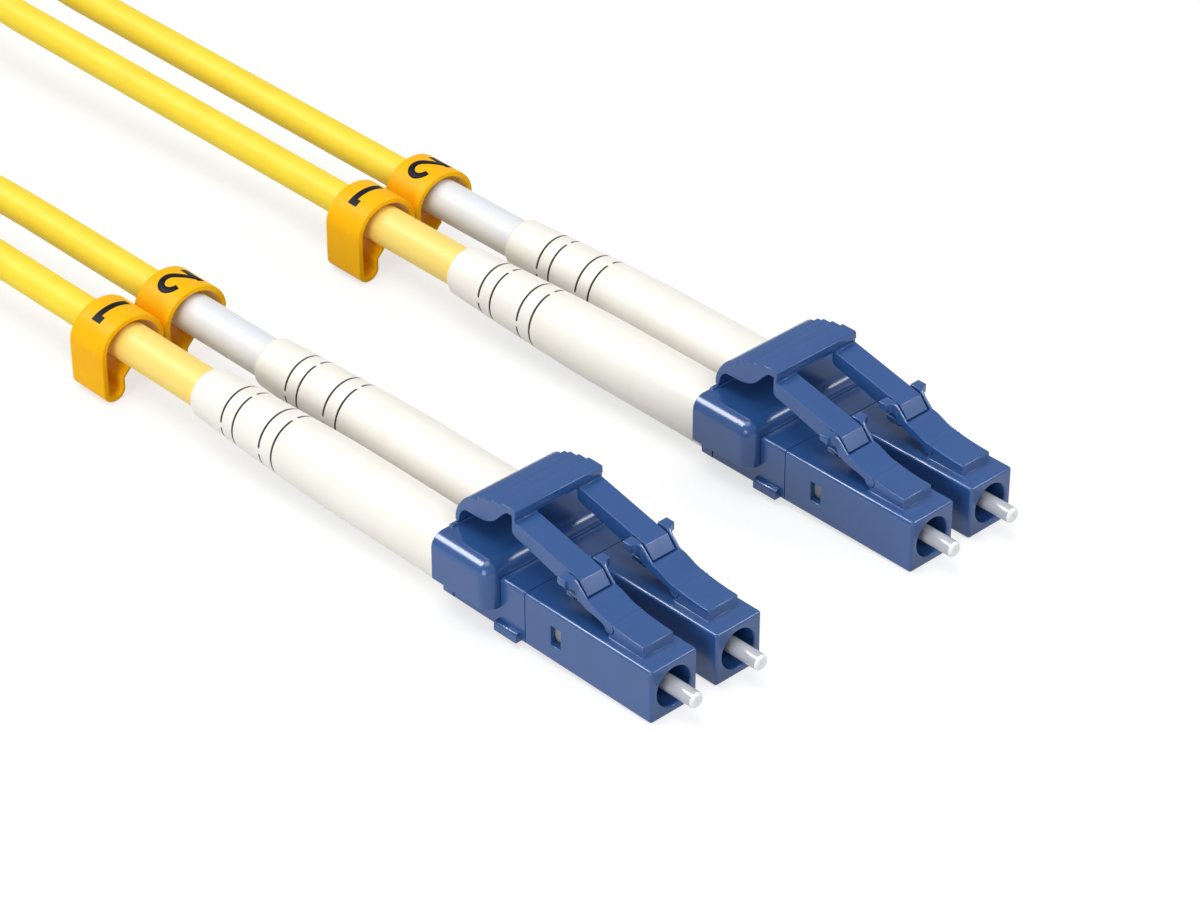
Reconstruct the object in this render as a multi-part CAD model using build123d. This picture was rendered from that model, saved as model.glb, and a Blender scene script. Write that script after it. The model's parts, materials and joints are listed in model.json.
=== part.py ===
"""Duplex single-mode fibre optic patch cable with an LC plug pair at each end, in millimetres.

Both ends lie side by side on the floor, noses towards -Y, and the spare length of the two strands
is coiled behind them. Each end is built level in its own frame (ferrule of strand 1 on the Y axis,
front face of the plugs at y = 0, cables leaving towards +Y) and then set down where it comes to rest.
"""
from build123d import *
import math
import os

# Plug pair
pitch = 6.25
body_side = 4.42
body_length = 12.8
body_edge = 0.25
fit_gap = 0.02

# Front bore, shoulder and spring chamber of a plug
front_bore = 3.16
front_bore_depth = 5.0
mouth_chamfer = 0.1
shoulder_length = 0.8
shoulder_bore = 2.1
chamber_bore = 3.5
window_centre_y = 9.65
window_length = 1.0
window_height = 1.7

# Ferrule, its metal flange and the spring behind it
ferrule_diameter = 1.25
ferrule_reach = 2.3
ferrule_length = 7.6
ferrule_chamfer = 0.16
fibre_hole = 0.15
flange_nose = 1.9
flange_nose_length = 1.9
flange_hex = 2.75
flange_hex_length = 1.15
flange_tail = 1.5
flange_tail_length = 5.4
flange_bore = 1.0
seat_gap = 0.05
spring_mean = 2.25
spring_wire = 0.3
spring_turns = 6

# Fibre
buffer_diameter = 0.9
glass_diameter = 0.125
buffer_gap = 2.6
buffer_beyond_rear = 1.7

# Rear body with its crimp stem
rear_length = 8.7
nose_length = 1.0
nose_gap = 0.05
tail_bore = 1.8
stem_diameter = 2.8
stem_length = 2.6
stem_bore = 1.2
foot_reach = 0.45
foot_length = 2.3
foot_height = 0.8
foot_setback = 0.5
groove_width = 0.12
groove_depth = 0.12
groove_setback = 1.2

# Latch: a root block on the plug and a lever that bends at its rear edge
latch_width = 2.9
root_front = 1.6
root_rise = 0.9
latch_axis_y = 5.05
latch_axis_rise = 0.755
latch_eye = 0.45
eye_gap = 0.03
lever_floor = 1.015
lever_floor_end = 4.25
cheek_thickness = 0.22
lug_reach = 2.15
lug_front = 3.65
lug_rear = 4.45
lug_low = 1.785
lug_high = 2.395
lug_flare = 0.65

# Trigger and the clip that holds the pair
arm_width = 2.2
arm_overlap = 2.5
arm_lift = 0.1
arm_tip_height = 1.04
arm_tip_slope = 0.75
arm_tip_flat = 2.55
trigger_axis_inset = 0.2
trigger_axis_z = 3.82
trigger_eye = 0.2
step_run = (2.15, 2.75, 3.65, 4.7)
step_level = (2.68, 3.06, 3.29, 3.51, 3.73)
clip_length = 6.0
clip_setback = 0.2
clip_wall = 1.25
clip_low = -0.3
clip_edge = 1.1
root_pad_width = 0.6

# Boot, crimp sleeve, cable, marking sleeve and number tag
cable_diameter = 2.8
cable_gap = 0.4
crimp_wall = 0.32
crimp_setback = 0.5
crimp_length = 6.0
boot_length = 29.4
boot_diameter = 5.38
boot_collar = 5.46
boot_collar_length = 2.5
boot_straight = 13.0
boot_end_diameter = 4.2
boot_end_round = 0.5
boot_bore = 3.45
socket_gap = 0.11
slit_from_end = (4.2, 5.6, 8.9, 10.4)
slit_width = 0.2
slit_depth = 0.3
slit_bridge = 11.0
sleeve_wall = 0.25
sleeve_gap = 0.02
sleeve_inside_boot = 15.0
sleeve_past_tag_front = 2.05
tag_from_boot = 9.25
tag_length = 4.95
tag_wall = 0.45
tag_bow = 2.3
tag_bow_x = -0.45
tag_bow_z = -0.25
tag_tongue_wall = 0.3
tag_drop = 4.35
tag_slot = 1.12
tag_lip_z = -2.0

# Lay-out on the floor and the spare cable
end_spacing = 26.0
coil_y = 147.0
coil_radius = 19.6
coil_columns = 3
coil_layers = 2
coil_edge = 1.2
stub_length = 19.0
stub_corner = 114.0

half_body = body_side / 2
rear_end = body_length + rear_length
shoulder_end = front_bore_depth + shoulder_length
hex_front = shoulder_end + seat_gap
hex_rear = hex_front + flange_hex_length
spring_front = hex_rear + fit_gap
spring_rear = body_length - nose_length - fit_gap
buffer_start = ferrule_length - ferrule_reach + buffer_gap
buffer_end = rear_end + buffer_beyond_rear
stem_end = rear_end + stem_length
cable_start = stem_end + cable_gap
crimp_start = rear_end + crimp_setback
crimp_inner = stem_diameter + 2 * fit_gap
crimp_outer = crimp_inner + 2 * crimp_wall
boot_socket = crimp_outer + 2 * socket_gap
boot_socket_end = crimp_start + crimp_length + crimp_setback
boot_start = rear_end + fit_gap
boot_end = rear_end + boot_length
boot_taper_start = rear_end + boot_straight
tag_front = boot_end + tag_from_boot
sleeve_start = boot_end - sleeve_inside_boot
sleeve_end = tag_front + sleeve_past_tag_front
clip_rear = rear_end - clip_setback
clip_front = clip_rear - clip_length
clip_top = half_body + clip_wall - fit_gap
latch_axis_z = half_body + latch_axis_rise
arm_tip_y = latch_axis_y + arm_overlap
arm_tip_low = latch_axis_z + lever_floor + arm_lift
trigger_axis_y = clip_rear - trigger_axis_inset
tag_outer = tag_bow + tag_wall


def rod(diameter, y0, y1):
    """Round bar along Y."""
    return Pos(0, (y0 + y1) / 2, 0) * Rot(90, 0, 0) * Cylinder(diameter / 2, y1 - y0)


def tube(outer, inner, y0, y1):
    return rod(outer, y0, y1) - rod(inner, y0 - 1, y1 + 1)


def block(x0, x1, y0, y1, z0, z1):
    return Pos((x0 + x1) / 2, (y0 + y1) / 2, (z0 + z1) / 2) * Box(x1 - x0, y1 - y0, z1 - z0)


def side_plate(outline, x0, x1):
    """Closed outline in (y, z), extruded from x0 to x1."""
    face = make_face(Plane.YZ * outline)
    return Pos(x0, 0, 0) * extrude(face, x1 - x0, dir=(1, 0, 0))


def plug_housing():
    shell = block(-half_body, half_body, 0, body_length, -half_body, half_body)
    front = shell.faces().sort_by(Axis.Y)[0].edges()
    shell = fillet(shell.edges().filter_by(Axis.Y) + front, body_edge)
    shell -= rod(front_bore, -1, front_bore_depth)
    mouth = [e for e in shell.faces().sort_by(Axis.Y)[0].edges().filter_by(GeomType.CIRCLE)]
    shell = chamfer(mouth, mouth_chamfer)
    shell -= rod(shoulder_bore, front_bore_depth - 1, shoulder_end + 1)
    shell -= rod(chamber_bore, shoulder_end, body_length + 1)
    half_window = window_length / 2
    shell -= block(-body_side, body_side, window_centre_y - half_window, window_centre_y + half_window,
                   -window_height / 2, window_height / 2)
    return shell + latch_root()


def latch_root():
    """Solid block that the lever grows from, hollowed at the rear round the bending line."""
    low = half_body - 0.1
    top = half_body + root_rise
    eye_top = latch_axis_z + latch_eye
    line = Spline((root_front, top), (latch_axis_y * 0.55, top + 0.04), (latch_axis_y, eye_top))
    rest = Polyline((latch_axis_y, eye_top), (latch_axis_y, low), (root_front, low), (root_front, top))
    root = side_plate(Wire(list(line.edges()) + list(rest.edges())), -latch_width / 2, latch_width / 2)
    front_edge = [e for e in root.edges().filter_by(Axis.X) if abs(e.center().Y - root_front) < 0.01]
    root = fillet(max(front_edge, key=lambda e: e.center().Z), 0.15)
    seat = Rot(0, 90, 0) * Cylinder(latch_eye + eye_gap, latch_width + 1)
    return root - Pos(0, latch_axis_y, latch_axis_z) * seat


def latch():
    """Lever with a fork at its rear: two cheeks with a lug each, and the trigger arm between them.

    Its outline is given from the bending line.
    """
    half = latch_width / 2
    eye = Rot(0, 90, 0) * Cylinder(latch_eye, latch_width)
    top = Spline((0, latch_eye), (0.55, 0.55), (1.35, 0.88), (2.33, 1.14))
    under = Spline((2.75, 0.6), (1.65, 0.29), (0.45, -0.05), (0, -latch_eye))
    rim = Polyline((2.33, 1.14), (2.37, lever_floor), (lever_floor_end, lever_floor), (lever_floor_end, 0.635),
                   (2.75, 0.6))
    stop = Line((0, -latch_eye), (0, latch_eye))
    outline = [e for part in (top, rim, under, stop) for e in part.edges()]
    lever = side_plate(Wire(outline), -half, half)
    fork = side_plate(Polyline((1.95, 0.6), (2.25, 1.12), (3.37, lug_high - 0.16), (3.57, lug_high - 0.02),
                               (lug_rear, lug_high), (lug_rear, lug_low + 0.06), (lug_front + 0.1, lug_low),
                               (3.3, 1.34), (3.15, 0.62), close=True), -lug_reach, lug_reach)
    inner = half - cheek_thickness
    flare = RadiusArc((half, lug_front - lug_flare), (lug_reach, lug_front), lug_flare * 1.02)
    plan = Polyline((lug_reach, lug_front), (lug_reach, lug_rear), (inner, lug_rear), (inner, 1.95),
                    (half, 1.95), (half, lug_front - lug_flare))
    cheek = extrude(make_face(Plane.XY * Wire(list(flare.edges()) + list(plan.edges()))), lug_high + 1)
    cheeks = fork & (cheek + mirror(cheek, Plane.YZ))
    return Pos(0, latch_axis_y, latch_axis_z) * (eye + lever + cheeks)


def ferrule():
    body = rod(ferrule_diameter, -ferrule_reach, ferrule_length - ferrule_reach)
    tip = body.faces().sort_by(Axis.Y)[0].edges()
    body = chamfer(tip, ferrule_chamfer)
    return body - rod(fibre_hole, -ferrule_reach - 1, ferrule_length)


def ferrule_flange():
    """Metal barrel: a nose that grips the ferrule, a hexagon that seats on the shoulder, a tail tube."""
    hexagon = Rot(90, 0, 0) * extrude(RegularPolygon(flange_hex / 2, 6, major_radius=False),
                                      flange_hex_length / 2, both=True)
    barrel = Pos(0, (hex_front + hex_rear) / 2, 0) * hexagon
    barrel += rod(flange_nose, hex_front - flange_nose_length, hex_front + 0.1)
    barrel += rod(flange_tail, hex_rear - 0.1, hex_rear + flange_tail_length)
    barrel -= rod(ferrule_diameter, hex_front - 3, ferrule_length - ferrule_reach)
    return barrel - rod(flange_bore, ferrule_length - ferrule_reach - 0.1, hex_rear + 8)


def ferrule_spring():
    length = spring_rear - spring_front - spring_wire
    path = Helix(length / spring_turns, length, spring_mean / 2)
    start = Plane(path @ 0, z_dir=path % 0)
    coil = sweep(start * RegularPolygon(spring_wire / 2, 6), path, is_frenet=True)
    return Pos(0, spring_rear - spring_wire / 2, 0) * Rot(90, 0, 0) * coil


def buffered_fibre():
    glass_start = -ferrule_reach
    return rod(glass_diameter, glass_start, buffer_start + 0.1) + rod(buffer_diameter, buffer_start, buffer_end)


def rear_body():
    shell = block(-half_body, half_body, body_length + fit_gap, rear_end, -half_body, half_body)
    shell = fillet(shell.edges().filter_by(Axis.Y), body_edge)
    foot_y = body_length + foot_setback
    for side in (-1, 1):
        x0, x1 = sorted((side * (half_body - 0.5), side * (half_body + foot_reach)))
        foot = block(x0, x1, foot_y, foot_y + foot_length, -half_body, -half_body + foot_height)
        outer = foot.edges().filter_by(Axis.Y).group_by(Axis.X)[0 if side < 0 else -1]
        shell += fillet(outer.sort_by(Axis.Z)[-1], foot_height * 0.4)
    groove_y = rear_end - groove_setback
    ring = block(-half_body - 1, half_body + 1, groove_y, groove_y + groove_width, -half_body - 1, half_body + 1)
    core = half_body - groove_depth
    shell -= ring - block(-core, core, groove_y, groove_y + groove_width, -core, core)
    shell += rod(chamber_bore - 2 * nose_gap, body_length - nose_length, body_length + 0.5)
    shell += rod(stem_diameter, rear_end - 0.5, rear_end + stem_length)
    shell -= rod(tail_bore, 0, rear_end - 1.5)
    return shell - rod(stem_bore, rear_end - 2, rear_end + stem_length + 1)


def crimp_sleeve():
    sleeve = tube(crimp_outer, crimp_inner, crimp_start, crimp_start + crimp_length)
    for share in (0.3, 0.7):
        y = crimp_start + crimp_length * share
        sleeve -= tube(crimp_outer + 1, crimp_outer - crimp_wall * 0.5, y - 0.4, y + 0.4)
    return sleeve


def radius_of_boot(y):
    """The boot's outer radius along its taper."""
    share = (y - boot_taper_start) / (boot_end - boot_end_round - boot_taper_start)
    return boot_diameter / 2 - (boot_diameter - boot_end_diameter) / 2 * max(share, 0) ** 1.35


def boot():
    """Soft strain relief, drawn in towards the cable, with two pairs of slit rings near its end."""
    radius = boot_diameter / 2
    end_radius = boot_end_diameter / 2
    tip_start = boot_end - boot_end_round
    inset = boot_end_round * (1 - math.sqrt(0.5))
    profile = Polyline((boot_collar / 2, boot_start), (radius, boot_start + boot_collar_length),
                       (radius, boot_taper_start))
    stations = [boot_taper_start + (tip_start - boot_taper_start) * share for share in (0, 0.25, 0.5, 0.75, 1)]
    taper = Spline(*[(radius_of_boot(y), y) for y in stations])
    tip = ThreePointArc((end_radius, tip_start), (end_radius - inset, boot_end - inset),
                        (end_radius - boot_end_round, boot_end))
    bore = Polyline((end_radius - boot_end_round, boot_end), (boot_bore / 2, boot_end),
                    (boot_bore / 2, boot_socket_end), (boot_socket / 2, boot_socket_end),
                    (boot_socket / 2, boot_start), (boot_collar / 2, boot_start))
    outline = [e for part in (profile, taper, tip, bore) for e in part.edges()]
    body = revolve(make_face(Plane.XY * Wire(outline)), Axis.Y)
    for number, back in enumerate(slit_from_end):
        y = boot_end - back
        body -= slit_ring(y, radius_of_boot(y), 0 if number % 2 else 90)
    return body


def slit_ring(y, radius, bridge_angle):
    """Two shallow arcs round the boot, parted by two bridges."""
    ring = tube(2 * radius + 2, 2 * (radius - slit_depth), y - slit_width / 2, y + slit_width / 2)
    bridge = 2 * radius * math.sin(math.radians(slit_bridge) / 2)
    return ring - Rot(0, bridge_angle, 0) * Pos(0, y, 0) * Box(bridge, 1, 4 * radius)


def marking_sleeve():
    inner = cable_diameter + 2 * sleeve_gap
    return tube(inner + 2 * sleeve_wall, inner, sleeve_start, sleeve_end)


def number_tag():
    """Snap-on marker: a bow over the cable, a straight side, and a hooked tongue below."""
    left = tag_bow_x - tag_outer
    inner_left = tag_bow_x - tag_bow
    low = -tag_drop
    tongue = inner_left + tag_slot
    half_slot = tag_slot / 2
    outer_half = (tongue + tag_tongue_wall - left) / 2
    path = [
        ThreePointArc((left, tag_bow_z), (tag_bow_x, tag_bow_z + tag_outer), (tag_bow_x + tag_outer, tag_bow_z)),
        ThreePointArc((tag_bow_x + tag_outer, tag_bow_z),
                      (tag_bow_x + tag_bow + tag_wall / 2, tag_bow_z - tag_wall / 2),
                      (tag_bow_x + tag_bow, tag_bow_z)),
        ThreePointArc((tag_bow_x + tag_bow, tag_bow_z), (tag_bow_x, tag_bow_z + tag_bow), (inner_left, tag_bow_z)),
        Line((inner_left, tag_bow_z), (inner_left, low + tag_wall + half_slot)),
        ThreePointArc((inner_left, low + tag_wall + half_slot), (inner_left + half_slot, low + tag_wall),
                      (tongue, low + tag_wall + half_slot)),
        Line((tongue, low + tag_wall + half_slot), (tongue, tag_lip_z - 0.5)),
        Line((tongue, tag_lip_z - 0.5), (tongue + 0.75, tag_lip_z + 0.3)),
        Line((tongue + 0.75, tag_lip_z + 0.3), (tongue + 0.95, tag_lip_z + 0.08)),
        Line((tongue + 0.95, tag_lip_z + 0.08), (tongue + tag_tongue_wall, tag_lip_z - 0.65)),
        Line((tongue + tag_tongue_wall, tag_lip_z - 0.65), (tongue + tag_tongue_wall, low + outer_half)),
        ThreePointArc((tongue + tag_tongue_wall, low + outer_half), (left + outer_half, low),
                      (left, low + outer_half)),
        Line((left, low + outer_half), (left, tag_bow_z)),
    ]
    face = make_face(Plane.XZ * Wire([e for part in path for e in part.edges()]))
    return Pos(0, tag_front, 0) * extrude(face, tag_length, dir=(0, 1, 0))


def duplex_clip():
    """Saddle over both rear bodies, open below, with the pad that the trigger's root grows from."""
    outer = half_body + clip_wall
    saddle = block(-outer, pitch + outer, clip_front, clip_rear, clip_low, clip_top)
    top_edges = saddle.faces().sort_by(Axis.Z)[-1].edges()
    top_edges = [e for e in top_edges if e.center().Y < clip_rear - 0.1]
    front_edges = [e for e in saddle.edges().filter_by(Axis.Z) if e.center().Y < clip_front + 0.1]
    saddle = fillet(top_edges + front_edges, clip_edge)
    channel = half_body + fit_gap
    for x in (0, pitch):
        saddle -= block(x - channel, x + channel, clip_front - 1, clip_rear + 1, clip_low - 1, channel)
    pad_low = trigger_axis_z - trigger_eye - eye_gap
    pad = block(-arm_width / 2 - root_pad_width, pitch + arm_width / 2 + root_pad_width,
                trigger_axis_y - 0.18, trigger_axis_y + 0.2, clip_top - 0.5, pad_low)
    return saddle + fillet(pad.edges().filter_by(Axis.X).group_by(Axis.Z)[-1], 0.06)


def trigger():
    """Bridge over both latches: root, arch, ribbed thumb bar with a lip, and one arm to each latch.

    The bar's outline is given from the bending line at its root.
    """
    half = arm_width / 2
    top = step_level[-1]
    over = Spline((trigger_eye, 0), (0.17, 0.48), (-0.08, 1.18), (-0.6, 1.94), (-1.2, 2.5), (-1.65, step_level[0]))
    steps = []
    for run, low, high in zip(step_run, step_level, step_level[1:]):
        steps += [(-run, low), (-run, high)]
    lip = [(-6.0, top), (-6.15, top - 0.08), (-6.18, 3.13), (-6.1, 3.06), (-6.08, 2.78), (-5.8, 2.78), (-5.8, 3.18)]
    crown = Polyline([(-1.65, step_level[0])] + steps + lip + [(-5.36, 3.18)])
    slope = Spline((-5.36, 3.18), (-4.9, 2.84), (-4.25, 2.11), (-3.65, 1.62), (-2.95, 1.34), (-2.2, 1.24))
    shelf = Line((-2.2, 1.24), (-1.15, 1.21))
    leg = Spline((-1.15, 1.21), (-0.72, 1.08), (-0.38, 0.68), (-0.24, 0.28), (-trigger_eye, 0))
    stop = Line((-trigger_eye, 0), (trigger_eye, 0))
    outline = [e for part in (over, crown, slope, shelf, leg, stop) for e in part.edges()]
    bar = side_plate(Wire(outline), -half, pitch + half)
    eye = Rot(0, 90, 0) * Cylinder(trigger_eye, pitch + 2 * half)
    bar = Pos(0, trigger_axis_y, trigger_axis_z) * (bar + Pos(pitch / 2, 0, 0) * eye)
    neck = [(-6.08, 2.88), (-6.08, 2.78), (-6.3, 2.72)]
    heel = [(-7.7, 1.16), (-6.2, 1.54), (-5.9, 1.7), (-5.8, 1.98), (-5.8, 2.88)]
    arm_outline = Polyline(from_axis(neck) + [
        (arm_tip_y + arm_tip_slope, arm_tip_low + arm_tip_height), (arm_tip_y - 0.05, arm_tip_low + 0.06),
        (arm_tip_y, arm_tip_low), (arm_tip_y + arm_tip_flat, arm_tip_low)] + from_axis(heel), close=True)
    for x in (0, pitch):
        bar += side_plate(arm_outline, x - half, x + half)
    return bar


def from_axis(points):
    """Points given from the trigger's bending line, as (y, z)."""
    return [(trigger_axis_y + y, trigger_axis_z + z) for y, z in points]


def set_down_angle():
    """Nose-down angle at which the plugs' front edge and the tags' tongues touch one floor."""
    run = tag_front - body_edge
    fall = tag_drop - half_body + body_edge
    return math.atan2(fall, run) - math.asin(body_edge / math.hypot(run, fall))


tilt = set_down_angle()
nose_height = body_edge + (half_body - body_edge) * math.cos(tilt) - body_edge * math.sin(tilt)
nose_y = -(tag_front + tag_length - ferrule_reach) / 2 * math.cos(tilt)
end_x = {"a": -(end_spacing + pitch) / 2, "b": (end_spacing - pitch) / 2}


def set_down(end):
    return Pos(end_x[end], nose_y, nose_height) * Rot(math.degrees(tilt), 0, 0)


def on_axis(end, strand, y):
    """Point of a strand's axis in the row frame, from its place y in the end's own frame."""
    return (end_x[end] + (strand - 1) * pitch, nose_y + y * math.cos(tilt), nose_height + y * math.sin(tilt))


outer_column = coil_radius + cable_diameter * (coil_columns - 1) / 2
stub_y = coil_y - stub_length
layer = cable_diameter
coil_height = coil_layers * layer
upper = coil_height
entry = {1: (-outer_column, stub_y, layer / 2), 2: (-outer_column, stub_y, upper + layer / 2)}
leave = {1: (outer_column, stub_y, 1.5 * layer), 2: (outer_column, stub_y, upper + 1.5 * layer)}

lead_points = {
    ("a", 1): [on_axis("a", 1, cable_start), on_axis("a", 1, 92), (-18.3, 84, 3.2),
               (-outer_column, stub_corner, layer / 2), entry[1]],
    ("a", 2): [on_axis("a", 2, cable_start), on_axis("a", 2, 92), (-13.4, 84, 5.9),
               (-outer_column, stub_corner, upper + layer / 2), entry[2]],
    ("b", 1): [on_axis("b", 1, cable_start), on_axis("b", 1, 116), (14.9, 98, 5.4),
               (outer_column, stub_corner, 1.5 * layer), leave[1]],
    ("b", 2): [on_axis("b", 2, cable_start), on_axis("b", 2, 116), (18.9, 98, 7.9),
               (outer_column, stub_corner, upper + 1.5 * layer), leave[2]],
}


def cable_lead(points):
    """Cable as straight runs joined by arcs as large as the runs allow; returns the solid and its radii."""
    corners = [Vector(*p) for p in points]
    radii = []
    for before, here, after in zip(corners, corners[1:], corners[2:]):
        turn = math.radians((here - before).get_angle(after - here))
        radii.append(0.45 * min((here - before).length, (after - here).length) / math.tan(turn / 2))
    path = FilletPolyline(*corners, radius=radii)
    section = Plane(corners[0], z_dir=corners[1] - corners[0]) * Circle(cable_diameter / 2)
    lead = sweep(section, path)
    want = math.pi * cable_diameter ** 2 / 4 * path.length
    print("lead length %.1f volume ratio %.4f radii %s" % (path.length, lead.volume / want,
                                                         [round(r) for r in radii]))
    return lead, path.length


def spare_coil(level, entry_point, leave_point):
    """Outer form of one strand's turns, with the straight stubs that its leads run into."""
    width = coil_columns * cable_diameter
    ring = Cylinder(coil_radius + width / 2, coil_height) - Cylinder(coil_radius - width / 2, coil_height)
    ring = fillet(ring.edges(), coil_edge)
    ring = Pos(0, coil_y, level + coil_height / 2) * ring
    for x, y, z in (entry_point, leave_point):
        ring += Pos(x, 0, z) * rod(cable_diameter, y, coil_y)
    return ring


def main():
    os.makedirs("parts", exist_ok=True)
    single = {
        "plug_housing": plug_housing(), "latch": latch(), "ferrule": ferrule(),
        "ferrule_flange": ferrule_flange(), "ferrule_spring": ferrule_spring(),
        "buffered_fibre": buffered_fibre(), "rear_body": rear_body(), "crimp_sleeve": crimp_sleeve(),
        "boot": boot(), "marking_sleeve": marking_sleeve(), "number_tag": number_tag(),
    }
    shared = {"duplex_clip": duplex_clip(), "trigger": trigger()}
    for end in ("a", "b"):
        place = set_down(end)
        for name, solid in shared.items():
            export_step(place * solid, "parts/end_%s_%s.step" % (end, name))
        for strand in (1, 2):
            for name, solid in single.items():
                placed = place * Pos((strand - 1) * pitch, 0, 0) * solid
                export_step(placed, "parts/end_%s_%s_%d.step" % (end, name, strand))
    for strand in (1, 2):
        total = 0
        for end in ("a", "b"):
            lead, length = cable_lead(lead_points[end, strand])
            total += length + stub_length
            export_step(lead, "parts/strand_%d_lead_%s.step" % (strand, end))
        ring = spare_coil((strand - 1) * coil_height, entry[strand], leave[strand])
        export_step(ring, "parts/strand_%d_coil.step" % strand)
        print("strand %d without its turns %.1f" % (strand, total))
    print("tilt %.3f deg, nose at y %.3f z %.3f" % (math.degrees(tilt), nose_y, nose_height))


main()
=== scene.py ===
"""Looks of a duplex fibre optic patch cable, section by section as it is put together.

Lengths are in metres, the small ones written as millimetres times MM. Places are in the frame of
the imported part, or in a plug's own level frame: the noses point along -Y in both.
"""
import json
import math

import bpy
from mathutils import Matrix, Vector


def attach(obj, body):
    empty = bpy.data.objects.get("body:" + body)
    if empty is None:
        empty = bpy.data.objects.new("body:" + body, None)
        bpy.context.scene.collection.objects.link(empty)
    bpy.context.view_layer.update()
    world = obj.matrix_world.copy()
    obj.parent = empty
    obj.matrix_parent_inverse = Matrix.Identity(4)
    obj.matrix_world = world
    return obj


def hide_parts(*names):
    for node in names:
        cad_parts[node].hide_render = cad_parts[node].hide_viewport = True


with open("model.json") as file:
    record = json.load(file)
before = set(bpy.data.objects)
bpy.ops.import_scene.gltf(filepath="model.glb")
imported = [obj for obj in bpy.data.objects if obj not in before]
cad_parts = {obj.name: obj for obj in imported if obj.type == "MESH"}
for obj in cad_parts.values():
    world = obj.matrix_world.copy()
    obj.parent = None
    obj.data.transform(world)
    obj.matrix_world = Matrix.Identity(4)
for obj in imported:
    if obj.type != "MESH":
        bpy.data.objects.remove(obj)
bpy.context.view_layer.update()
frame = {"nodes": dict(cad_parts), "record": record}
bpy.ops.object.select_all(action="DESELECT")

# Studio: the camera, the pale floor, the daylight and the lamps.
# End a is the near pair of plugs and end b the far one. The camera stands in front of the noses, on
# their left, and looks down on them. Its place is given in end a's own frame, which is level.
MM = 0.001
ENDS = ("a", "b")
SENSOR_WIDTH = 36.0
LENS = 121.5
NEAREST_VIEW = 0.01
VIEW_AZIMUTH = -43.28
VIEW_ELEVATION = 33.93
VIEW_POINT = Vector((-155.7, -157.9, 168.7)) * MM
mounts = {mount["name"]: mount for mount in frame["record"]["mounts"]}


def end_frame(end):
    """Turns points given in an end's own level frame into the part's frame."""
    port = mounts["end_%s_plug_1_body" % end]
    tilt = math.atan2(-port["axis"][2], -port["axis"][1])
    return Matrix.Translation(port["pos_m"]) @ Matrix.Rotation(tilt, 4, "X")


own = {end: end_frame(end) for end in ENDS}

camera_data = bpy.data.cameras.new("view")
camera_data.lens = LENS
camera_data.sensor_width = SENSOR_WIDTH
camera_data.clip_start = NEAREST_VIEW
camera = bpy.data.objects.new("view", camera_data)
bpy.context.scene.collection.objects.link(camera)
heading = Matrix.Rotation(math.radians(VIEW_AZIMUTH), 4, "Z")
nod = Matrix.Rotation(math.radians(90 - VIEW_ELEVATION), 4, "X")
camera.matrix_world = own["a"] @ Matrix.Translation(VIEW_POINT) @ heading @ nod
bpy.context.scene.camera = camera
bpy.context.scene.view_settings.view_transform = "Standard"


class Wire:
    """A node's output socket. A sum of two adds a Math node."""

    def __init__(self, finish, socket):
        self.finish = finish
        self.socket = socket

    def __add__(self, other):
        return self.finish.node("ShaderNodeMath", {"operation": "ADD"}, self, other)

    __radd__ = __add__


class Finish:
    """A material, or the world, with its one shader."""

    def __init__(self, name, family=bpy.data.materials, shader="Principled BSDF"):
        self.material = family.new(name)
        self.material.use_nodes = True
        self.tree = self.material.node_tree
        self.shader = self.tree.nodes[shader]
        self.at = None

    def node(self, kind, settings, *values, out=0, **named):
        """Adds a node, sets it up, feeds its sockets, and returns one of its outputs."""
        made = self.tree.nodes.new(kind)
        for key, value in settings.items():
            setattr(made, key, value)
        for index, value in enumerate(values):
            self.feed(made.inputs[index], value)
        for key, value in named.items():
            self.feed(made.inputs[key.replace("_", " ")], value)
        return Wire(self, made.outputs[out])

    def feed(self, socket, value):
        """Links or sets a socket, and leaves it alone for None."""
        if isinstance(value, Wire):
            self.tree.links.new(value.socket, socket)
        elif value is not None:
            socket.default_value = value

    def set(self, **named):
        """Feeds the shader's own sockets."""
        for key, value in named.items():
            self.feed(self.shader.inputs[key.replace("_", " ")], value)

    def noise(self, size, detail, rough=0.55):
        """Fractal noise from 0 to 1 over the piece, with lumps of about size millimetres."""
        if self.at is None:
            at = self.node("ShaderNodeTexCoord", {}, out="Object")
            self.at = self.node("ShaderNodeMapping", {}, at, Scale=(1 / MM, 1 / MM, 1 / MM))
        return self.node("ShaderNodeTexNoise", {}, self.at, Scale=1 / size, Detail=detail, Roughness=rough)

    def band(self, value, low, high, out_low=0.0, out_high=1.0):
        """Value stretched from low..high to out_low..out_high and held at the ends."""
        return self.node("ShaderNodeMapRange", {"clamp": True}, value, low, high, out_low, out_high)

    def mix(self, share, first, second):
        """Blend of two colours by share."""
        unused = [None] * 5
        return self.node("ShaderNodeMix", {"data_type": "RGBA"}, share, *unused, first, second, out=2)

    def bump(self, height, depth, strength):
        """Normal from a height field, depth in millimetres."""
        return self.node("ShaderNodeBump", {}, strength, depth * MM, Height=height)

    def seen_by(self, *kinds):
        """1 for the kinds of ray that are named, 0 for the others."""
        rays = [self.node("ShaderNodeLightPath", {}, out="Is %s Ray" % kind) for kind in kinds]
        return sum(rays[1:], rays[0])


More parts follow.
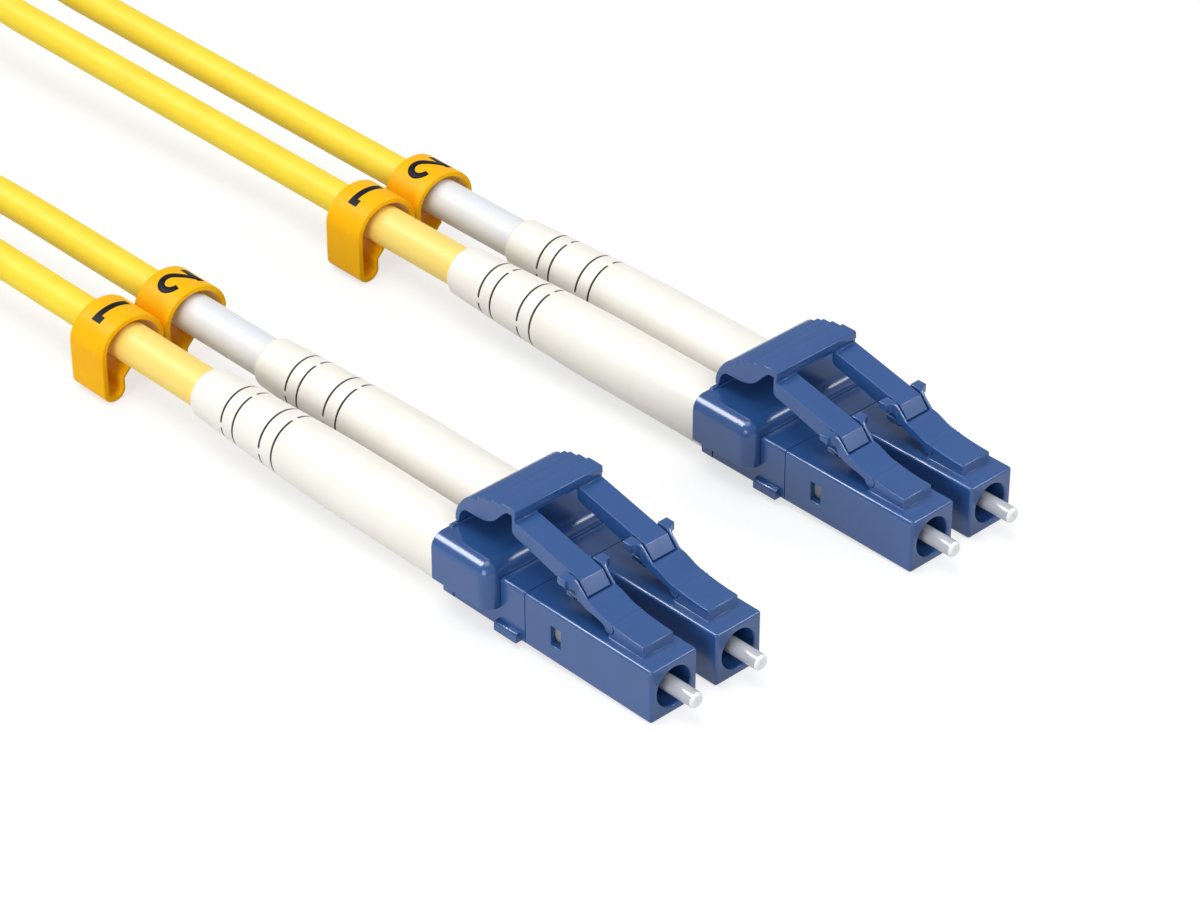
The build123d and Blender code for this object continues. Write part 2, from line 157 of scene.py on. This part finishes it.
WHITE = (1, 1, 1, 1)
FLOOR_WIDTH = 3.0
FLOOR_GREY = (0.42, 0.42, 0.42, 1)
FLOOR_GLOW = 0.66
bpy.ops.mesh.primitive_plane_add(size=FLOOR_WIDTH, location=(0, 0, 0))
floor = bpy.context.object
floor.name = "floor"
floor_finish = Finish("pale_floor")
floor_finish.set(Base_Color=FLOOR_GREY, Roughness=0.9, Specular_IOR_Level=0.0)
matt = Wire(floor_finish, floor_finish.shader.outputs[0])
glow = floor_finish.node("ShaderNodeEmission", {}, WHITE, FLOOR_GLOW)
lit = floor_finish.node("ShaderNodeAddShader", {}, matt, glow)
direct = floor_finish.seen_by("Camera", "Glossy", "Transmission")
shown = floor_finish.node("ShaderNodeMixShader", {}, direct, matt, lit)
floor_finish.feed(floor_finish.tree.nodes["Material Output"].inputs["Surface"], shown)
floor.data.materials.append(floor_finish.material)

SKY_LIGHT = 0.52
sky = Finish("studio", bpy.data.worlds, "Background")
sky.set(Color=WHITE, Strength=sky.band(sky.seen_by("Camera"), 0.0, 1.0, SKY_LIGHT, 1.0))
bpy.context.scene.world = sky.material


def softbox(name, place, size, power, lights_all=True):
    """Square area lamp aimed at the plugs, in metres; without lights_all it shows in gloss alone."""
    data = bpy.data.lights.new(name, "AREA")
    data.shape = "SQUARE"
    data.size = size
    data.energy = power
    lamp = bpy.data.objects.new(name, data)
    bpy.context.scene.collection.objects.link(lamp)
    lamp.location = place
    lamp.rotation_euler = (-Vector(place)).to_track_quat("-Z", "Y").to_euler()
    lamp.visible_diffuse = lights_all


softbox("overhead", (-0.10, 0.10, 0.75), 0.5, 2.35)
softbox("left", (-0.70, -0.18, 0.20), 0.36, 2.4)
softbox("front_right", (0.42, -0.45, 0.43), 0.18, 1.2)
softbox("back_left_gloss", (-0.27, 0.43, 0.55), 0.3, 4.5, False)

# Strands of cable.
# Each is a yellow jacket over aramid yarn and one buffered fibre. It runs straight out of its boot,
# sinks to the floor and is wound into a round coil behind the plugs, strand 2 on top of strand 1.
STRANDS = (1, 2)
port_1 = Vector(mounts["end_a_plug_1_body"]["pos_m"])
port_2 = Vector(mounts["end_a_plug_2_body"]["pos_m"])
pitch = (port_2 - port_1).length
CABLE = 2.8 * MM
CABLE_START = 24.5 * MM
RUN_CORNER = {"a": 92 * MM, "b": 116 * MM}
SINK = {
    ("a", 1): Vector((-18.3, 84, 3.2)) * MM,
    ("a", 2): Vector((-13.4, 84, 5.9)) * MM,
    ("b", 1): Vector((14.9, 98, 5.4)) * MM,
    ("b", 2): Vector((18.9, 98, 7.9)) * MM,
}
STUB_CORNER = 114.0 * MM
STUB = 19.0 * MM
COIL_CENTRE = 147.0 * MM
COIL_RADIUS = 19.6 * MM
COIL_COLUMNS = 3
COIL_LAYERS = 2
POINTS_PER_TURN = 16
SHIFT_START = 0.55
SHIFT_SHARE = 0.4


def own_point(end, strand, along):
    """Point on the axis of a plug, at a depth behind its nose."""
    return own[end] @ Vector(((strand - 1) * pitch, along, 0))


def straight_run(end, strand):
    """Points along the boot's axis, with even distances about the corner where the strand sinks."""
    corner = RUN_CORNER[end]
    run = (SINK[end, strand] - own_point(end, strand, corner)).length
    return [own_point(end, strand, along) for along in (CABLE_START, corner - run, corner)]


def coil_points(level):
    """Control points of the turns: inwards on the lower layer, and back out on the upper one."""
    slots = [(column, 0) for column in reversed(range(COIL_COLUMNS))]
    slots += [(column, 1) for column in range(COIL_COLUMNS)]
    inner = COIL_RADIUS - CABLE * (COIL_COLUMNS - 1) / 2
    # The curve runs inside its control points, and the swell makes up for that.
    swell = 1 / (0.75 + 0.25 * math.cos(2 * math.pi / POINTS_PER_TURN))
    points = []
    for step in range(round((len(slots) - 0.5) * POINTS_PER_TURN) + 1):
        angle = math.pi - 2 * math.pi * step / POINTS_PER_TURN
        turns = step / POINTS_PER_TURN
        here = min(int(turns), len(slots) - 1)
        after = min(here + 1, len(slots) - 1)
        share = min(max((turns - here - SHIFT_START) / SHIFT_SHARE, 0), 1)
        share = share * share * (3 - 2 * share)
        column = slots[here][0] * (1 - share) + slots[after][0] * share
        layer = slots[here][1] * (1 - share) + slots[after][1] * share
        radius = (inner + CABLE * column) * swell
        points.append(Vector((radius * math.cos(angle), COIL_CENTRE + radius * math.sin(angle),
                              level + CABLE * (0.5 + layer))))
    return points


def strand_points(strand):
    """The strand's whole route from its stem at end a to its stem at end b."""
    outer = COIL_RADIUS + CABLE * (COIL_COLUMNS - 1) / 2
    near = COIL_CENTRE - STUB
    level = (strand - 1) * COIL_LAYERS * CABLE
    low = level + CABLE / 2
    high = level + CABLE * 1.5
    route = straight_run("a", strand) + [SINK["a", strand]]
    route += [Vector((-outer, STUB_CORNER, low)), Vector((-outer, near, low))]
    route += coil_points(level)
    route += [Vector((outer, near, high)), Vector((outer, STUB_CORNER, high))]
    return route + [SINK["b", strand]] + straight_run("b", strand)[::-1]


def colour(red, green, blue):
    """Screen colour, 0 to 255, as the linear colour that a shader takes."""
    linear = []
    for level in (red, green, blue):
        share = level / 255
        linear.append(share / 12.92 if share <= 0.04045 else ((share + 0.055) / 1.055) ** 2.4)
    return (*linear, 1.0)


CABLE_YELLOW = colour(253, 224, 56)
CABLE_DEEP = colour(250, 217, 48)
cable_finish = Finish("yellow_jacket")
cloud = cable_finish.noise(3.0, 3)
grain = cable_finish.noise(0.12, 4)
cable_finish.set(
    Base_Color=cable_finish.mix(cable_finish.band(cloud, 0.35, 0.7), CABLE_YELLOW, CABLE_DEEP),
    Roughness=cable_finish.band(grain, 0.3, 0.7, 0.46, 0.6), Specular_IOR_Level=0.32,
    Subsurface_Weight=0.1, Subsurface_Radius=(0.8, 0.5, 0.1), Subsurface_Scale=0.6 * MM,
    Normal=cable_finish.bump(grain, 0.006, 0.5))

for strand in STRANDS:
    curve = bpy.data.curves.new("strand_%d_cable" % strand, "CURVE")
    curve.dimensions = "3D"
    curve.bevel_depth = CABLE / 2
    curve.bevel_resolution = 6
    curve.resolution_u = 8
    curve.use_fill_caps = True
    spline = curve.splines.new("NURBS")
    route = strand_points(strand)
    spline.points.add(len(route) - 1)
    for point, where in zip(spline.points, route):
        point.co = (*where, 1)
    spline.order_u = 3
    spline.use_endpoint_u = True
    curve.materials.append(cable_finish.material)
    cable = bpy.data.objects.new(curve.name, curve)
    bpy.context.scene.collection.objects.link(cable)
    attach(cable, "root")
    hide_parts("strand_%d_lead_a" % strand, "strand_%d_coil" % strand, "strand_%d_lead_b" % strand)

# Plug housings.
# One square nose per strand, moulded in blue polyester with a fine spark-eroded texture. The nose
# has a round bore for the port's sleeve holder, a window on each side, and the latch's root on top.
PLUGS = [(end, strand) for end in ENDS for strand in STRANDS]
HOUSING_EDGE = 0.08 * MM
HARD_CORNER_ANGLE = 35.0
ROUNDING_STEPS = 3
MERGED_GAP = 0.01 * MM
FLAT_ANGLE = 0.6
SMOOTH_ANGLE = 40.0
FLAT_FACE_WEIGHT = 80


def picked(node):
    """Selects one object alone and makes it the active one."""
    for other in bpy.context.selected_objects:
        other.select_set(False)
    node.select_set(True)
    bpy.context.view_layer.objects.active = node


def dressed(node, body, finish, edge, corner=HARD_CORNER_ANGLE, clamp=False):
    """A copy of a node's solid with its sharp edges rounded as a mould leaves them."""
    piece = frame["nodes"][node].copy()
    piece.data = frame["nodes"][node].data.copy()
    piece.name = node + "_moulded"
    for key in list(piece.keys()):
        del piece[key]
    piece.parent = None
    bpy.context.scene.collection.objects.link(piece)
    picked(piece)
    piece.data.materials.clear()
    piece.data.materials.append(finish.material)
    bpy.ops.object.mode_set(mode="EDIT")
    bpy.ops.mesh.select_all(action="SELECT")
    bpy.ops.mesh.customdata_custom_splitnormals_clear()
    bpy.ops.mesh.remove_doubles(threshold=MERGED_GAP)
    bpy.ops.mesh.dissolve_limited(angle_limit=math.radians(FLAT_ANGLE))
    bpy.ops.object.mode_set(mode="OBJECT")
    rounding = piece.modifiers.new("mould_edges", "BEVEL")
    rounding.width = edge
    rounding.segments = ROUNDING_STEPS
    rounding.limit_method = "ANGLE"
    rounding.angle_limit = math.radians(corner)
    rounding.use_clamp_overlap = clamp
    bpy.ops.object.modifier_apply(modifier=rounding.name)
    bpy.ops.object.shade_smooth_by_angle(angle=math.radians(SMOOTH_ANGLE))
    weighted = piece.modifiers.new("flat_faces", "WEIGHTED_NORMAL")
    weighted.keep_sharp = True
    weighted.weight = FLAT_FACE_WEIGHT
    bpy.ops.object.modifier_apply(modifier=weighted.name)
    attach(piece, body)
    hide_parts(node)
    return piece


blue_finish = Finish("blue_polyester")
cloud = blue_finish.noise(2.2, 3)
grain = blue_finish.noise(0.07, 5, 0.6)
blue_finish.set(
    Base_Color=blue_finish.mix(blue_finish.band(cloud, 0.3, 0.75), colour(46, 86, 146), colour(43, 82, 141)),
    Roughness=blue_finish.band(grain, 0.3, 0.7, 0.17, 0.26), Specular_IOR_Level=0.58,
    Normal=blue_finish.bump(grain, 0.002, 0.3))

for end, strand in PLUGS:
    dressed("end_%s_plug_housing_%d" % (end, strand), "root", blue_finish, HOUSING_EDGE)

# Latches.
# A springy lever on each housing, of the same blue polyester and moulded in one with it. It has two
# cheeks beside the place where the trigger presses, and two lugs that catch behind a port's shoulder.
LATCH_EDGE = 0.05 * MM
for end, strand in PLUGS:
    latch = "end_%s_latch_%d" % (end, strand)
    dressed(latch, latch, blue_finish, LATCH_EDGE)

# Ferrules.
# White ceramic pins that hold the fibre's end at their centre. They are ground round, pressed into
# their flanges, and polished at the tip. The tip is painted near white as a painted highlight, for the
# light that its rounded end catches.
FERRULE_EDGE = 0.03 * MM
TIP_HIGHLIGHT_DEPTH = -2.05 * MM


def retint(piece, end, strand, finish, picks):
    """Another finish for the faces that picks accepts, by depth along the plug and reach from its axis."""
    piece.data.materials.append(finish.material)
    back = own[end].inverted()
    for face in piece.data.polygons:
        x, y, z = back @ face.center
        if picks(y, math.hypot(x - (strand - 1) * pitch, z)):
            face.material_index = 1


def at_tip(along, reach):
    """Whether a point of a ferrule lies on its polished end, which is painted near white as a painted
    highlight.
    """
    return along < TIP_HIGHLIGHT_DEPTH


ferrule_finish = Finish("zirconia")
polish = ferrule_finish.noise(0.5, 3)
ferrule_finish.set(
    Base_Color=ferrule_finish.mix(polish, colour(194, 196, 203), colour(184, 186, 194)),
    Roughness=ferrule_finish.band(polish, 0.2, 0.8, 0.16, 0.26), Specular_IOR_Level=0.7,
    Subsurface_Weight=0.5, Subsurface_Radius=(0.8, 0.8, 0.85), Subsurface_Scale=0.5 * MM)
# The polished end: lower roughness, and a near-white colour that is a painted highlight, not the ceramic's
# own colour.
tip_highlight_finish = Finish("tip_painted_highlight")
polish = tip_highlight_finish.noise(0.2, 3)
tip_highlight_finish.set(
    Base_Color=tip_highlight_finish.mix(polish, colour(252, 252, 253), colour(246, 247, 249)),
    Roughness=tip_highlight_finish.band(polish, 0.2, 0.8, 0.1, 0.2), Specular_IOR_Level=0.8)

for end, strand in PLUGS:
    ferrule = "end_%s_ferrule_%d" % (end, strand)
    pin = dressed(ferrule, ferrule, ferrule_finish, FERRULE_EDGE)
    # The faces of the tip take the painted highlight.
    retint(pin, end, strand, tip_highlight_finish, at_tip)

# Ferrule flanges, springs, buffered fibres and crimp sleeves, inside the plugs.
# A flange of nickel-plated brass holds each ferrule, and a spring of drawn wire pushes it forwards.
# The coated fibre runs in from behind. A soft metal sleeve is crimped over the yarn on the stem.
flange_finish = Finish("nickel_plate")
scratch = flange_finish.noise(0.3, 4)
flange_finish.set(Base_Color=colour(214, 208, 190), Metallic=1.0,
                  Roughness=flange_finish.band(scratch, 0.3, 0.7, 0.22, 0.4))
spring_finish = Finish("spring_wire")
draw = spring_finish.noise(0.2, 4)
spring_finish.set(Base_Color=colour(190, 190, 192), Metallic=1.0,
                  Roughness=spring_finish.band(draw, 0.3, 0.7, 0.25, 0.42))
buffer_finish = Finish("buffer_coat")
coat = buffer_finish.noise(0.4, 3)
buffer_finish.set(Base_Color=buffer_finish.mix(coat, colour(240, 236, 214), colour(228, 222, 198)),
                  Roughness=buffer_finish.band(coat, 0.3, 0.7, 0.4, 0.55))
crimp_finish = Finish("crimped_metal")
rub = crimp_finish.noise(0.25, 4)
crimp_finish.set(Base_Color=colour(196, 192, 184), Metallic=1.0,
                 Roughness=crimp_finish.band(rub, 0.3, 0.7, 0.3, 0.5))
inner_finishes = {
    "ferrule_flange": flange_finish,
    "ferrule_spring": spring_finish,
    "buffered_fibre": buffer_finish,
    "crimp_sleeve": crimp_finish,
}
for end, strand in PLUGS:
    for kind, finish in inner_finishes.items():
        node = frame["nodes"]["end_%s_%s_%d" % (end, kind, strand)]
        node.data.materials.clear()
        node.data.materials.append(finish.material)

# Seat sleeves.
# A short tube of grey plastic lines the chamber round each spring and shows through the side
# windows. It is slipped in from behind, before the rear body is pushed on.
SEAT_RADIUS = 1.73 * MM
SEAT_WALL = 0.3 * MM
SEAT_LENGTH = 3.0 * MM
SEAT_CENTRE = 10.0 * MM
SEAT_SIDES = 48
seat_finish = Finish("seat_sleeve")
mottle = seat_finish.noise(0.15, 4)
seat_finish.set(Base_Color=seat_finish.mix(mottle, colour(158, 162, 170), colour(128, 132, 141)),
                Roughness=seat_finish.band(mottle, 0.3, 0.7, 0.4, 0.6))


def laid_round(end, strand, name, sides, radius, length, caps, middle):
    """A cylinder along the cable, with its middle at a point of the plug's own frame."""
    bpy.ops.object.select_all(action="DESELECT")
    bpy.ops.mesh.primitive_cylinder_add(vertices=sides, radius=radius, depth=length, end_fill_type=caps)
    made = bpy.context.object
    made.name = "end_%s_%s_%d" % (end, name, strand)
    place = Matrix.Translation(Vector(((strand - 1) * pitch, 0, 0)) + Vector(middle))
    made.data.transform(own[end] @ place @ Matrix.Rotation(math.pi / 2, 4, "X"))
    return made


for end, strand in PLUGS:
    seat = laid_round(end, strand, "seat_sleeve", SEAT_SIDES, SEAT_RADIUS, SEAT_LENGTH, "NOTHING",
                      (0, SEAT_CENTRE, 0))
    wall = seat.modifiers.new("wall", "SOLIDIFY")
    wall.thickness = SEAT_WALL
    bpy.ops.object.modifier_apply(modifier=wall.name)
    bpy.ops.object.shade_smooth_by_angle(angle=math.radians(SMOOTH_ANGLE))
    seat.data.materials.append(seat_finish.material)
    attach(seat, "root")

# Rear bodies.
# The square rear half of each plug, of the same blue polyester, pushed onto the housing and locked
# there. It has a foot on each side and carries the stem that the yarn is crimped to.
REAR_EDGE = 0.06 * MM
for end, strand in PLUGS:
    dressed("end_%s_rear_body_%d" % (end, strand), "root", blue_finish, REAR_EDGE, clamp=True)

# Boots.
# Soft white sleeves that stop the cable from kinking, moulded in a rubbery plastic and pushed over
# the crimp. Two pairs of slit rings near the end let it bend. The faces inside the slits are given a
# painted shade, standing in for the shadow in slits that are deeper in the real boot.
SOFT_EDGE = 0.04 * MM
SOFT_CORNER_ANGLE = 45.0
SLITS = (46.7 * MM, 45.3 * MM, 42.0 * MM, 40.5 * MM)
SLIT_HALF = 0.14 * MM
SLIT_LIP = 0.07 * MM
TAPER_START = 34.5 * MM
TAPER_LENGTH = 15.9 * MM
TAPER_POWER = 1.35
BOOT_RADIUS = 2.69 * MM
BOOT_END_RADIUS = 2.1 * MM
boot_finish = Finish("white_boot")
cloud = boot_finish.noise(4.0, 3)
grain = boot_finish.noise(0.1, 4)
boot_finish.set(
    Base_Color=boot_finish.mix(boot_finish.band(cloud, 0.3, 0.7),
                               colour(247, 244, 236), colour(243, 240, 231)),
    Roughness=boot_finish.band(grain, 0.3, 0.7, 0.38, 0.52), Specular_IOR_Level=0.4,
    Normal=boot_finish.bump(grain, 0.004, 0.4))
# Painted shade: dark greys for the faces inside the slits, standing in for the shadow there.
painted_slit_shade = Finish("slit_painted_shade")
mottle = painted_slit_shade.noise(0.3, 4)
painted_slit_shade.set(Base_Color=painted_slit_shade.mix(mottle, colour(112, 110, 106), colour(94, 92, 89)),
                Roughness=painted_slit_shade.band(mottle, 0.3, 0.7, 0.6, 0.8), Specular_IOR_Level=0.2)


def inside_slit(along, reach):
    """Whether a point of a boot lies in one of its slit rings, below the surface, where shade is painted."""
    share = max(along - TAPER_START, 0) / TAPER_LENGTH
    surface = BOOT_RADIUS - (BOOT_RADIUS - BOOT_END_RADIUS) * share ** TAPER_POWER
    return reach < surface - SLIT_LIP and any(abs(along - slit) < SLIT_HALF for slit in SLITS)


for end, strand in PLUGS:
    boot = dressed("end_%s_boot_%d" % (end, strand), "root", boot_finish,
                   SOFT_EDGE, SOFT_CORNER_ANGLE)
    # The faces inside the slits take the painted shade.
    retint(boot, end, strand, painted_slit_shade, inside_slit)

# Marking sleeves.
# Thin tubes of soft plastic, pale yellow on strand 1 and white on strand 2. They are cut to length
# and slipped over the cable, with one end held inside the boot.
SLEEVE_COLOURS = {
    1: (colour(253, 224, 120), colour(252, 219, 112)),
    2: (colour(231, 233, 238), colour(225, 228, 233)),
}
for strand in STRANDS:
    sleeve_finish = Finish("sleeve_of_strand_%d" % strand)
    cloud = sleeve_finish.noise(1.5, 3)
    grain = sleeve_finish.noise(0.1, 4)
    sleeve_finish.set(Base_Color=sleeve_finish.mix(cloud, *SLEEVE_COLOURS[strand]),
                      Roughness=sleeve_finish.band(grain, 0.3, 0.7, 0.42, 0.55), Specular_IOR_Level=0.4,
                      Normal=sleeve_finish.bump(grain, 0.004, 0.4))
    for end in ENDS:
        dressed("end_%s_marking_sleeve_%d" % (end, strand), "root", sleeve_finish,
                SOFT_EDGE, SOFT_CORNER_ANGLE)

# Number tags.
# Orange clips of springy plastic, snapped over the sleeves with a small bead on the lip that holds
# them shut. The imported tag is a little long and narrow, and is fitted from its front left corner.
TAG_EDGE = 0.11 * MM
TAG_FRONT = 60.15 * MM
TAG_LEFT = -3.2 * MM
TAG_SHARE = 0.83
TAG_WIDENING = 1.11
BEAD_RADIUS = 0.17 * MM
BEAD_LENGTH = 4.0 * MM
BEAD_SIDES = 24
BEAD_SETBACK = 0.05 * MM
BEAD_X = -0.58 * MM
BEAD_Z = -1.64 * MM
tag_finish = Finish("orange_tag")
cloud = tag_finish.noise(2.0, 3)
grain = tag_finish.noise(0.08, 4)
tag_finish.set(
    Base_Color=tag_finish.mix(tag_finish.band(cloud, 0.3, 0.7), colour(254, 190, 16), colour(252, 183, 13)),
    Roughness=tag_finish.band(grain, 0.3, 0.7, 0.3, 0.44), Specular_IOR_Level=0.06,
    Normal=tag_finish.bump(grain, 0.004, 0.4))


def tag_fit(end, strand, along=1.0):
    """Widens what sits on a tag from its left flank, and scales it along the cable from its front."""
    corner = own[end] @ Matrix.Translation(((strand - 1) * pitch + TAG_LEFT, TAG_FRONT, 0))
    return corner @ Matrix.Diagonal((TAG_WIDENING, along, 1, 1)) @ corner.inverted()


for end, strand in PLUGS:
    tag = dressed("end_%s_number_tag_%d" % (end, strand), "root", tag_finish, TAG_EDGE)
    tag.data.transform(tag_fit(end, strand, TAG_SHARE))

for end, strand in PLUGS:
    bead = laid_round(end, strand, "snap_bead", BEAD_SIDES, BEAD_RADIUS, BEAD_LENGTH, "NGON",
                      (BEAD_X, TAG_FRONT + BEAD_LENGTH / 2 + BEAD_SETBACK, BEAD_Z))
    bpy.ops.object.shade_smooth_by_angle(angle=math.radians(SMOOTH_ANGLE))
    bead.data.materials.append(tag_finish.material)
    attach(bead, "root")

# Printed digits.
# Each tag has its strand's number on its bow, printed in dark blue ink. A digit is drawn flat and
# bent round the bow as a thin film: the 1 is a stem with a flag, the 2 two strokes of a broad pen.
DIGIT_HEIGHT = {1: 3.15 * MM, 2: 3.25 * MM}
DIGIT_WIDTH = {1: 1.0 * MM, 2: 2.25 * MM}
DIGIT_Y = {1: 62.3 * MM, 2: 62.2 * MM}
DIGIT_TOP_ANGLE = {1: 37.0, 2: 35.0}
STEM = 0.6 * MM
FLAG = 0.4 * MM
PEN = 0.56 * MM
HEEL = 0.75
BOWL_START = 172
BOWL_SWEEP = 212
BOWL_STEPS = 16
BOW_RADIUS = 2.75 * MM
BOW_X = -0.45 * MM
BOW_Z = -0.25 * MM
INK_LIFT = 0.012 * MM
INK_CUTS = 26
INK_GAP = 0.001 * MM
ink_finish = Finish("navy_ink")
dab = ink_finish.noise(0.15, 4)
ink_finish.set(Base_Color=ink_finish.mix(dab, colour(12, 15, 27), colour(19, 22, 36)),
               Roughness=ink_finish.band(dab, 0.3, 0.7, 0.4, 0.55), Specular_IOR_Level=0.1)


def flat_one():
    """The flat 1: a plane for the stem, and one for the flag at its top left."""
    bpy.ops.mesh.primitive_plane_add(size=1, location=(0, 0, 0))
    one = bpy.context.object
    one.scale = (STEM, DIGIT_HEIGHT[1], 1)
    bpy.ops.object.transform_apply()
    flag_place = (-(STEM + FLAG) / 2, (DIGIT_HEIGHT[1] - STEM) / 2, 0)
    bpy.ops.object.mode_set(mode="EDIT")
    bpy.ops.mesh.primitive_plane_add(size=1, location=flag_place)
    bpy.ops.transform.resize(value=(FLAG, STEM, 1), center_override=flag_place)
    bpy.ops.object.mode_set(mode="OBJECT")
    return one


def flat_two():
    """The flat 2: one stroke for the bowl with its diagonal, and one for the foot."""
    radius = (DIGIT_WIDTH[2] - PEN) / 2
    middle = Vector((DIGIT_WIDTH[2] / 2, DIGIT_HEIGHT[2] - PEN / 2 - radius, 0))
    turns = [math.radians(BOWL_START - BOWL_SWEEP * step / BOWL_STEPS) for step in range(BOWL_STEPS + 1)]
    bowl = [middle + Vector((math.cos(turn), math.sin(turn), 0)) * radius for turn in turns]
    bowl.append(Vector((HEEL * PEN, PEN / 2, 0)))
    foot = [Vector((0, PEN / 2, 0)), Vector((DIGIT_WIDTH[2], PEN / 2, 0))]
    strokes = bpy.data.curves.new("two", "CURVE")
    strokes.dimensions = "3D"
    strokes.twist_mode = "Z_UP"
    strokes.extrude = PEN / 2
    for line in (bowl, foot):
        stroke = strokes.splines.new("POLY")
        stroke.points.add(len(line) - 1)
        for point, where in zip(stroke.points, line):
            point.co = (*where, 1)
            point.tilt = math.pi / 2
    two = bpy.data.objects.new("two", strokes)
    bpy.context.scene.collection.objects.link(two)
    picked(two)
    bpy.ops.object.convert(target="MESH")
    return bpy.context.object


def bent_round_bow(digit, end, strand):
    """Moves a flat digit's points to their places on the tag's bow."""
    left = min(vertex.co.x for vertex in digit.data.vertices)
    right = max(vertex.co.x for vertex in digit.data.vertices)
    foot = min(vertex.co.y for vertex in digit.data.vertices)
    head = max(vertex.co.y for vertex in digit.data.vertices)
    reach = BOW_RADIUS + INK_LIFT
    for vertex in digit.data.vertices:
        aside = ((vertex.co.x - left) / (right - left) - 0.5) * DIGIT_WIDTH[strand]
        down = (head - vertex.co.y) / (head - foot) * DIGIT_HEIGHT[strand]
        angle = down / BOW_RADIUS - math.radians(DIGIT_TOP_ANGLE[strand])
        on_bow = Vector(((strand - 1) * pitch + BOW_X + reach * math.sin(angle), DIGIT_Y[strand] + aside,
                         BOW_Z + reach * math.cos(angle)))
        vertex.co = tag_fit(end, strand) @ own[end] @ on_bow


for end, strand in PLUGS:
    bpy.ops.object.select_all(action="DESELECT")
    digit = flat_one() if strand == 1 else flat_two()
    digit.name = "end_%s_digit_%d" % (end, strand)
    upright = [vertex.co.y for vertex in digit.data.vertices]
    bpy.ops.object.mode_set(mode="EDIT")
    for cut in range(1, INK_CUTS):
        height = min(upright) + (max(upright) - min(upright)) * cut / INK_CUTS
        bpy.ops.mesh.select_all(action="SELECT")
        bpy.ops.mesh.bisect(plane_co=(0, height, 0), plane_no=(0, 1, 0))
    bpy.ops.mesh.select_all(action="SELECT")
    bpy.ops.mesh.remove_doubles(threshold=INK_GAP)
    bpy.ops.object.mode_set(mode="OBJECT")
    bent_round_bow(digit, end, strand)
    film = digit.modifiers.new("ink_film", "SOLIDIFY")
    film.thickness = 2 * INK_LIFT
    film.offset = 0
    bpy.ops.object.modifier_apply(modifier=film.name)
    bpy.ops.object.mode_set(mode="EDIT")
    bpy.ops.mesh.select_all(action="SELECT")
    bpy.ops.mesh.normals_make_consistent(inside=False)
    bpy.ops.object.mode_set(mode="OBJECT")
    digit.data.materials.append(ink_finish.material)
    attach(digit, "root")

# Duplex clips and triggers.
# A saddle of the same blue polyester snaps over both rear bodies of an end. The ribbed thumb bar
# above it is moulded in one with it and bends at its rear, and its two arms press both latches.
CLIP_EDGE = 0.06 * MM
for end in ENDS:
    trigger = "end_%s_trigger" % end
    dressed("end_%s_duplex_clip" % end, "root", blue_finish, CLIP_EDGE)
    dressed(trigger, trigger, blue_finish, CLIP_EDGE)
